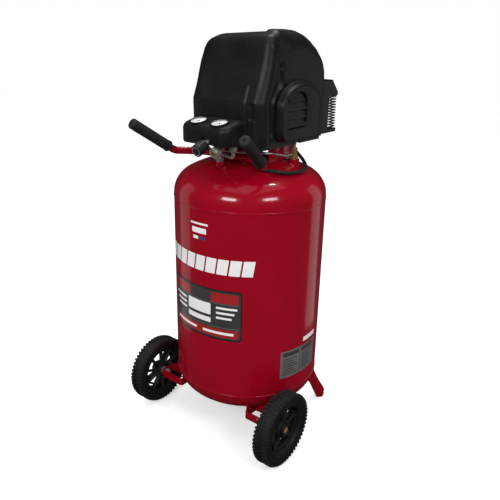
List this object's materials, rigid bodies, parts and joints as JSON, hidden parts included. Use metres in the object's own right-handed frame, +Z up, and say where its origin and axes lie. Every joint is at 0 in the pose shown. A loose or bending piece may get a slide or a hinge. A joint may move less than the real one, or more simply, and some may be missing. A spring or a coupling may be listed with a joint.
{
  "type": "portable vertical air compressor",
  "caption": "Upright wheeled air compressor: red dished-end tank with black-shrouded pump and motor on top, sloping gauge console, bent tube handle with grips, and rear feet.",
  "frame": {"origin": "centre of the footprint's bounding box on the floor", "axes": "+Z up, the gauge console and the handle face -Y, +X to the right of a person facing the console"},
  "size_m": [0.5008, 0.4989, 1.083],
  "materials": {
    "red_paint": "gloss",
    "tyre_rubber": "matt",
    "rim_plastic": "matt",
    "black_plastic": "fine grain",
    "black_rubber": "matt",
    "zinc": "zinc plated",
    "brass": "turned",
    "dark_steel": "plain",
    "cast_alloy": "as cast",
    "copper_wound": "varnished",
    "dial_white": "printed",
    "clear_lens": "clear",
    "needle_black": "matt",
    "fan_plastic": "matt",
    "lead_rubber": "satin"
  },
  "bodies": {
    "frame": {"tank": "red_paint", "wheel_brackets": "red_paint", "rear_feet": "red_paint", "axle_bolts": "brass", "axle_nuts": "zinc", "axle_spacers": "zinc", "drain_cock": "brass", "handle_bar": "red_paint", "grips": "black_rubber", "saddle": "red_paint", "isolators": "black_rubber", "isolator_bolts": "zinc", "saddle_bolts": "zinc", "pump_base": "dark_steel", "motor_case": "dark_steel", "end_bells": "cast_alloy", "bearings": "zinc", "stator": "copper_wound", "crankcase": "cast_alloy", "cylinder": "cast_alloy", "piston": "cast_alloy", "valve_plate": "zinc", "cylinder_head": "cast_alloy", "head_bolts": "zinc", "discharge_tube": "cast_alloy", "check_valve": "brass", "unloader_tube": "zinc", "intake_filter": "black_plastic", "shroud_hood": "black_plastic", "side_pod": "black_plastic", "rear_cage": "black_plastic", "base_pan": "black_plastic", "pan_screws": "zinc", "console": "black_plastic", "gauge_cases": "black_plastic", "gauge_dials": "dial_white", "gauge_lenses": "clear_lens", "manifold": "cast_alloy", "riser": "zinc", "coupler_body": "brass", "safety_valve": "brass", "pressure_switch": "black_plastic", "cord_gland": "black_rubber", "lead_bushings": "black_rubber", "motor_lead": "lead_rubber"},
    "wheel_left": {"tyre_left": "tyre_rubber", "rim_left": "rim_plastic"},
    "wheel_right": {"tyre_right": "tyre_rubber", "rim_right": "rim_plastic"},
    "rotor": {"rotor_shaft": "dark_steel", "eccentric": "dark_steel", "cooling_fan": "fan_plastic"},
    "rod": {"connecting_rod": "cast_alloy"},
    "drain_wing": {"drain_handle": "brass"},
    "pointer_tank": {"needle_tank": "needle_black"},
    "pointer_outlet": {"needle_outlet": "needle_black"},
    "knob": {"regulator_knob": "black_plastic"},
    "sleeve": {"coupler_sleeve": "zinc"},
    "pull_ring": {"safety_ring": "zinc"},
    "lever": {"switch_lever": "black_plastic"}
  },
  "joints": [
    {"name": "wheel_left_spin", "type": "hinge", "parent": "frame", "child": "wheel_left", "pos_m": [-0.2284, -0.1323, 0.1], "axis": [1, 0, 0], "continuous": true},
    {"name": "wheel_right_spin", "type": "hinge", "parent": "frame", "child": "wheel_right", "pos_m": [0.2284, -0.1323, 0.1], "axis": [1, 0, 0], "continuous": true},
    {"name": "rotor_spin", "type": "hinge", "parent": "frame", "child": "rotor", "pos_m": [0, 0.0354, 0.885], "axis": [1, 0, 0], "continuous": true},
    {"name": "rod_orbit", "type": "hinge", "parent": "rotor", "child": "rod", "pos_m": [-0.057, 0.0354, 0.893], "axis": [1, 0, 0], "continuous": true},
    {"name": "drain_turn", "type": "hinge", "parent": "frame", "child": "drain_wing", "pos_m": [0, -0.0048, 0.045], "axis": [0, -1, 0], "range_deg": [0, 360]},
    {"name": "needle_tank_turn", "type": "hinge", "parent": "frame", "child": "pointer_tank", "pos_m": [0.0326, -0.155, 0.87063], "axis": [0, -0.2419, 0.9703], "range_deg": [-270, 0]},
    {"name": "needle_outlet_turn", "type": "hinge", "parent": "frame", "child": "pointer_outlet", "pos_m": [-0.0326, -0.155, 0.87063], "axis": [0, -0.2419, 0.9703], "range_deg": [-270, 0]},
    {"name": "knob_turn", "type": "hinge", "parent": "frame", "child": "knob", "pos_m": [0.0135, -0.182, 0.8265], "axis": [0, -0.9205, -0.3907], "range_deg": [-1080, 0]},
    {"name": "sleeve_slide", "type": "slide", "parent": "frame", "child": "sleeve", "axis": [0, 0.9205, 0.3907], "range_m": [0, 0.004], "stiffness_N_per_m": 900},
    {"name": "ring_pull", "type": "slide", "parent": "frame", "child": "pull_ring", "axis": [0, 0, -1], "range_m": [0, 0.004], "stiffness_N_per_m": 600},
    {"name": "switch_turn", "type": "hinge", "parent": "frame", "child": "lever", "pos_m": [-0.0744, -0.1356, 0.847], "axis": [1, 0, 0], "range_deg": [0, 60]}
  ],
  "couplings": [
    {"joint": "rod_orbit", "follows": "rotor_spin", "ratio": -1}
  ]
}
